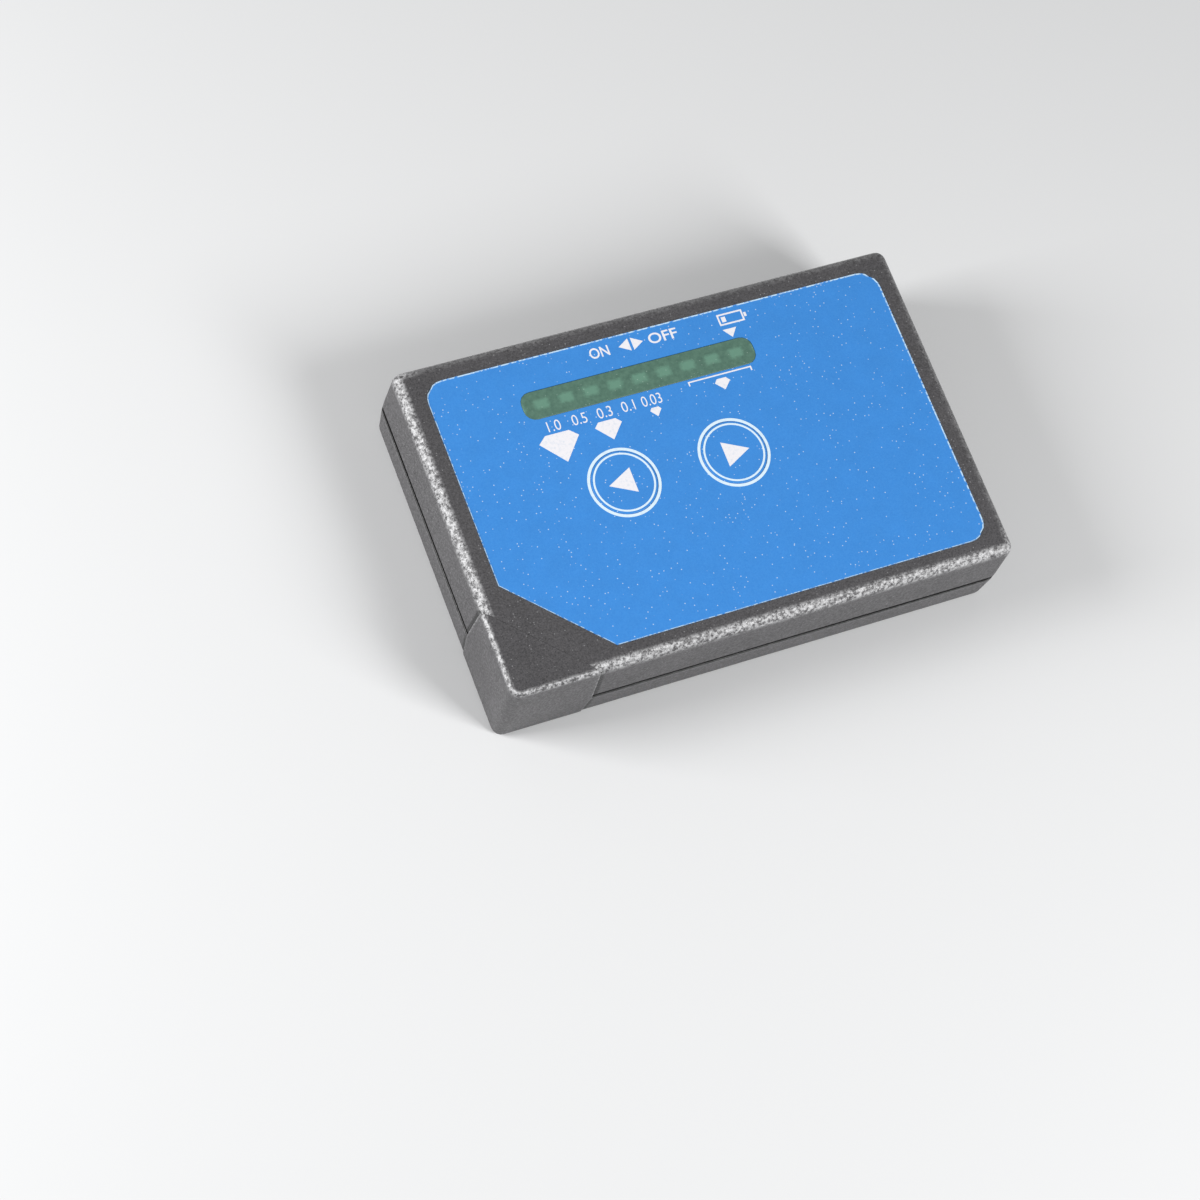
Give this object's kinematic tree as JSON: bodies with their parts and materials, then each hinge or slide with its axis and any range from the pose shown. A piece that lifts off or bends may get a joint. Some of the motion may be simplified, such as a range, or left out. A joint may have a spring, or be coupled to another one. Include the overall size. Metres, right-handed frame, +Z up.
{
  "type": "pocket diamond tester",
  "caption": "Flat pocket thermal tester: lamp row behind a tinted strip, two push buttons, edge slider, sprung corner probe under a pull-off cap, sliding battery cover.",
  "frame": {"origin": "middle of the underside, on the surface that the tester lies on", "axes": "+X along the long side towards the battery end, +Y across it towards the thumb slider, +Z up from the underside towards the face"},
  "size_m": [0.095, 0.062, 0.02],
  "materials": {
    "case_plastic": "spark-textured charcoal black moulding",
    "label_film": "blue printed film, satin",
    "button_plastic": "blue moulding with white marks, satin",
    "trimmer_plastic": "blue moulding",
    "window_film": "dark green tinted film",
    "lamp_lens": "diffused green lamp body, unlit",
    "component_black": "moulded black component body",
    "inner_plastic": "light grey moulding",
    "board": "green solder mask",
    "steel": "plated steel",
    "brass": "turned brass",
    "copper": "bare copper, polished",
    "ceramic": "white insulating moulding",
    "cell_jacket": "printed metallised jacket",
    "red_lead": "red lead insulation",
    "black_lead": "black lead insulation"
  },
  "bodies": {
    "case": {"upper_shell": "case_plastic", "lower_shell": "case_plastic", "face_label": "label_film", "display_window": "window_film", "lamp_1": "lamp_lens", "lamp_2": "lamp_lens", "lamp_3": "lamp_lens", "lamp_4": "lamp_lens", "lamp_5": "lamp_lens", "lamp_6": "lamp_lens", "lamp_7": "lamp_lens", "lamp_8": "lamp_lens", "lamp_9": "lamp_lens", "lamp_holder": "component_black", "circuit_board": "board", "left_switch": "component_black", "right_switch": "component_black", "control_chip": "component_black", "amplifier_chip": "component_black", "capacitor": "cell_jacket", "buzzer": "component_black", "trimmer_body": "trimmer_plastic", "power_switch": "steel", "probe_housing": "inner_plastic", "probe_barrel": "steel", "probe_nose": "brass", "probe_spring": "steel", "probe_plug": "inner_plastic", "probe_lead_1": "red_lead", "probe_lead_2": "black_lead", "battery_1": "cell_jacket", "battery_2": "cell_jacket", "battery_spring_1": "steel", "battery_spring_2": "steel", "bridge_plate": "steel", "positive_plate": "steel", "negative_plate": "steel", "battery_lead_red": "red_lead", "battery_lead_black": "black_lead", "case_screw_1": "steel", "case_screw_2": "steel", "case_screw_3": "steel", "case_screw_4": "steel", "board_screw_1": "steel", "board_screw_2": "steel"},
    "cap": {"corner_cap": "case_plastic"},
    "left_key": {"left_button": "button_plastic", "left_switch_stem": "component_black"},
    "right_key": {"right_button": "button_plastic", "right_switch_stem": "component_black"},
    "slider": {"power_slider": "case_plastic", "power_lever": "inner_plastic"},
    "tip": {"probe_tip": "copper", "probe_carrier": "ceramic", "probe_heater": "component_black"},
    "cover": {"battery_cover": "case_plastic"},
    "trimmer": {"trimmer_screw": "ceramic"}
  },
  "joints": [
    {"name": "cap_pull", "type": "slide", "parent": "case", "child": "cap", "axis": [-0.7071, -0.7071, 0], "range_m": [0, 0.02]},
    {"name": "left_press", "type": "slide", "parent": "case", "child": "left_key", "axis": [0, 0, -1], "range_m": [0, 0.0005], "stiffness_N_per_m": 2000, "springref_m": -0.0002},
    {"name": "right_press", "type": "slide", "parent": "case", "child": "right_key", "axis": [0, 0, -1], "range_m": [0, 0.0005], "stiffness_N_per_m": 2000, "springref_m": -0.0002},
    {"name": "power_slide", "type": "slide", "parent": "case", "child": "slider", "axis": [-1, 0, 0], "range_m": [0, 0.003]},
    {"name": "tip_press", "type": "slide", "parent": "case", "child": "tip", "axis": [0.7071, 0.7071, 0], "range_m": [0, 0.0015], "stiffness_N_per_m": 600, "springref_m": -0.0005, "deforming": ["probe_spring"]},
    {"name": "cover_slide", "type": "slide", "parent": "case", "child": "cover", "axis": [1, 0, 0], "range_m": [0, 0.0262]},
    {"name": "trimmer_turn", "type": "hinge", "parent": "case", "child": "trimmer", "pos_m": [0.0093, -0.00952, 0.015], "axis": [0, 0, 1], "range_deg": [-130, 130]}
  ]
}
